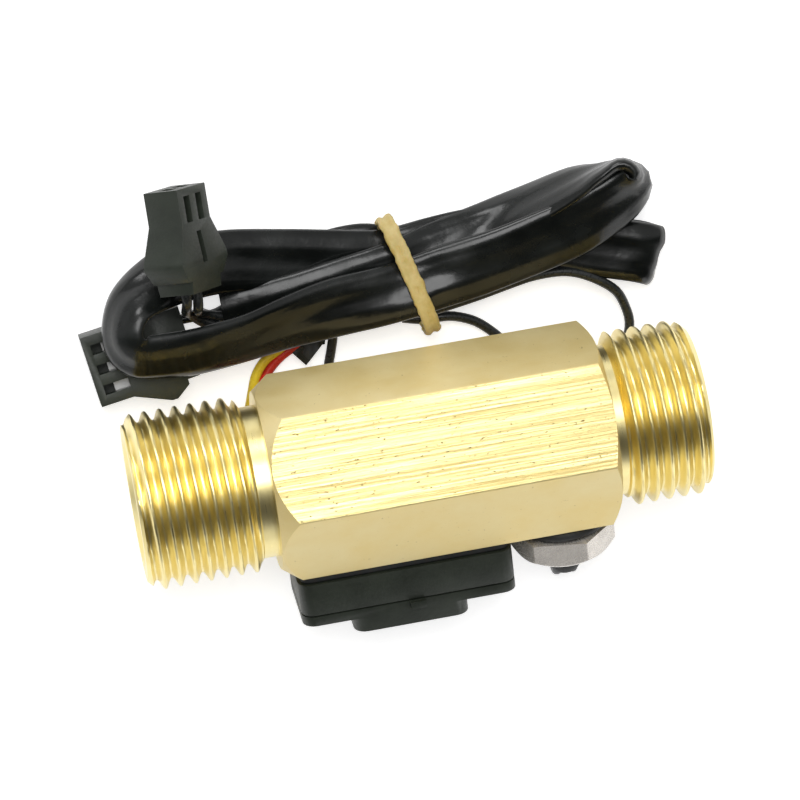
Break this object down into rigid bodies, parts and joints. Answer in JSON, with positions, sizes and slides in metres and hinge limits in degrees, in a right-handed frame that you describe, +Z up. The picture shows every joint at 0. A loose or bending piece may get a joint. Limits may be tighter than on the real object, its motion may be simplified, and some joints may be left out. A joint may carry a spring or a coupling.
{
  "type": "water flow sensor",
  "caption": "Brass pipe-body water flow sensor with threaded ends, a bladed rotor, a pulse pick-up, a screwed-in temperature probe and a folded cable with plugs.",
  "frame": {"origin": "on the surface that the sensor lies on, below the middle of its rigid parts", "axes": "+X along the flow, from the inlet to the outlet; +Z up from the surface; the pick-up housing faces -Y"},
  "size_m": [0.0715, 0.0559, 0.0235],
  "materials": {
    "turned_brass": "turned, bright threads and matt flats",
    "black_moulding": "moulded, semi-matt black",
    "rotor_moulding": "natural moulding",
    "bearing_moulding": "natural moulding",
    "ferrite_magnet": "bonded ferrite",
    "stainless_steel": "bright",
    "nickel_plate": "nickel plated",
    "tinned_metal": "tinned",
    "black_rubber": "moulded",
    "bead_glass": "coated bead",
    "board_laminate": "green solder mask",
    "red_wire": "insulation",
    "yellow_wire": "insulation",
    "black_wire": "insulation",
    "cable_sleeve": "glossy flattened sleeve",
    "latex_band": "tan elastic"
  },
  "bodies": {
    "sensor_body": {"brass_body": "turned_brass", "flow_guide": "black_moulding", "outlet_support": "black_moulding", "front_bearing": "bearing_moulding", "rear_bearing": "bearing_moulding", "retaining_ring": "stainless_steel", "sensor_gasket": "black_rubber", "sensor_housing": "black_moulding", "sensor_lid": "black_moulding", "lid_screw_left": "stainless_steel", "lid_screw_right": "stainless_steel", "circuit_board": "board_laminate", "hall_chip": "black_moulding", "board_capacitor": "tinned_metal", "board_resistor_1": "black_moulding", "board_resistor_2": "black_moulding", "wire_grommet": "black_rubber", "probe_fitting": "nickel_plate", "probe_o_ring": "black_rubber", "thermistor_bead": "bead_glass", "probe_potting": "black_rubber", "wire_red": "red_wire", "wire_yellow": "yellow_wire", "wire_black": "black_wire", "probe_wire_a": "black_wire", "probe_wire_b": "black_wire", "cable_hank": "cable_sleeve", "rubber_band": "latex_band", "flow_plug": "black_moulding", "flow_plug_contact_1": "tinned_metal", "flow_plug_contact_2": "tinned_metal", "flow_plug_contact_3": "tinned_metal", "flow_plug_wire_1": "black_wire", "flow_plug_wire_2": "black_wire", "flow_plug_wire_3": "black_wire", "probe_plug": "black_moulding", "probe_plug_contact_1": "tinned_metal", "probe_plug_contact_2": "tinned_metal"},
    "turbine": {"rotor": "rotor_moulding", "rotor_magnet": "ferrite_magnet", "rotor_shaft": "stainless_steel"}
  },
  "joints": [
    {"name": "rotor_spin", "type": "hinge", "parent": "sensor_body", "child": "turbine", "pos_m": [-0.00795, 0.00396, 0.01173], "axis": [1, 0, 0], "continuous": true}
  ]
}
